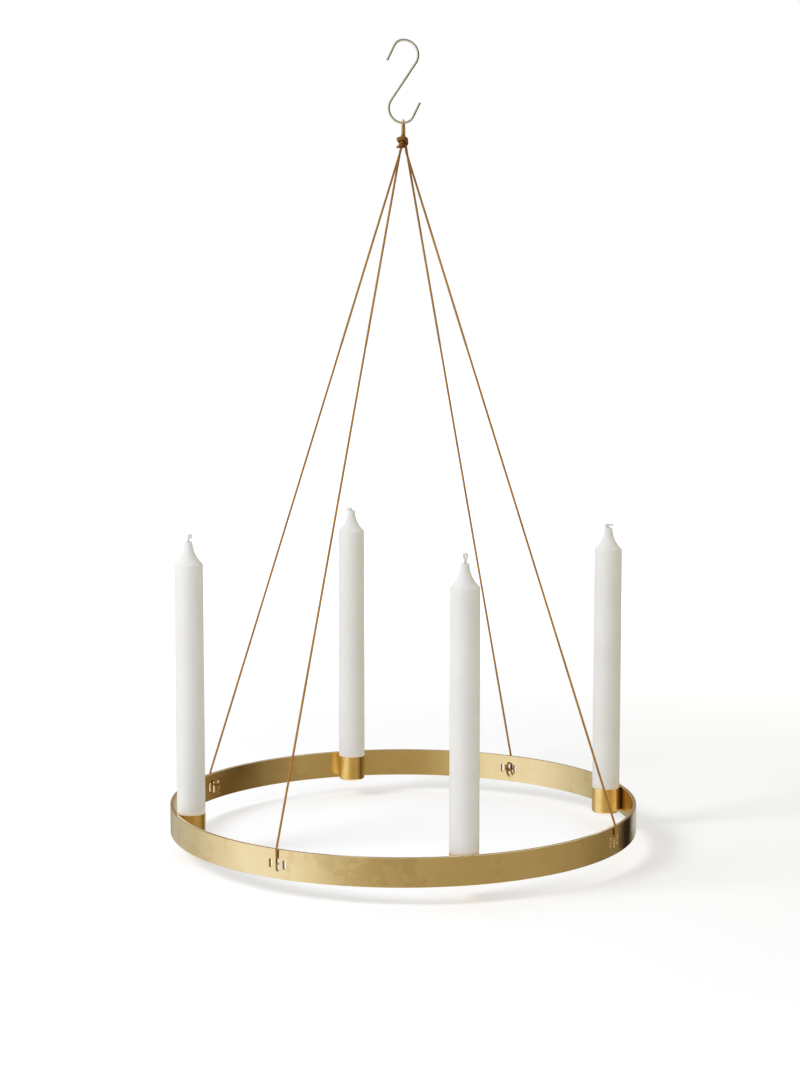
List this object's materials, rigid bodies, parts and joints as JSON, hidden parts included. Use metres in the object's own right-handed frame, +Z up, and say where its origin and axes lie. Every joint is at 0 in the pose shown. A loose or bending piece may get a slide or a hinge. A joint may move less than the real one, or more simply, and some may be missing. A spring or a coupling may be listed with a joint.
{
  "type": "hanging candle holder",
  "caption": "Flat brass hoop with candle cups on its inner face, hung on knotted leather strands from a wire S-hook, with its tall crown candles.",
  "frame": {"origin": "hanging point: inside top of the upper bend of the S-hook", "axes": "+Z up; the hook lies in the XZ plane; the side shown in the picture faces -Y"},
  "size_m": [0.3999, 0.4, 0.6677],
  "materials": {
    "hook_steel": "bright drawn steel wire, lightly satin",
    "cord_leather": "round tan leather cord, smooth grain with a low sheen",
    "band_brass": "satin brass, brushed along the band",
    "cup_brass": "turned brass, semi-bright",
    "seam_brass": "brazing metal, matt",
    "wax": "white candle wax, silky and slightly translucent",
    "wick_cotton": "waxed cotton braid"
  },
  "bodies": {
    "hook": {"s_hook": "hook_steel"},
    "loop": {"hanging_loop": "cord_leather"},
    "suspension": {"top_knot": "cord_leather", "strand_front_left": "cord_leather", "strand_front_right": "cord_leather", "strand_back_left": "cord_leather", "strand_back_right": "cord_leather", "ring_band": "band_brass", "cup_front": "cup_brass", "cup_left": "cup_brass", "cup_back": "cup_brass", "cup_right": "cup_brass", "braze_front": "seam_brass", "braze_left": "seam_brass", "braze_back": "seam_brass", "braze_right": "seam_brass"},
    "front_candle": {"candle_front": "wax", "wick_front": "wick_cotton"},
    "left_candle": {"candle_left": "wax", "wick_left": "wick_cotton"},
    "back_candle": {"candle_back": "wax", "wick_back": "wick_cotton"},
    "right_candle": {"candle_right": "wax", "wick_right": "wick_cotton"}
  },
  "joints": [
    {"name": "loop_swing", "type": "hinge", "parent": "hook", "child": "loop", "pos_m": [0, 0, -0.067], "axis": [1, 0, 0], "range_deg": [-45, 45]},
    {"name": "cord_twist", "type": "hinge", "parent": "loop", "child": "suspension", "pos_m": [0, 0, -0.0826], "axis": [0, 0, 1], "range_deg": [-90, 90]},
    {"name": "front_candle_lift", "type": "slide", "parent": "suspension", "child": "front_candle", "axis": [0, 0, 1], "range_m": [0, 0.04]},
    {"name": "left_candle_lift", "type": "slide", "parent": "suspension", "child": "left_candle", "axis": [0, 0, 1], "range_m": [0, 0.04]},
    {"name": "back_candle_lift", "type": "slide", "parent": "suspension", "child": "back_candle", "axis": [0, 0, 1], "range_m": [0, 0.04]},
    {"name": "right_candle_lift", "type": "slide", "parent": "suspension", "child": "right_candle", "axis": [0, 0, 1], "range_m": [0, 0.04]}
  ]
}
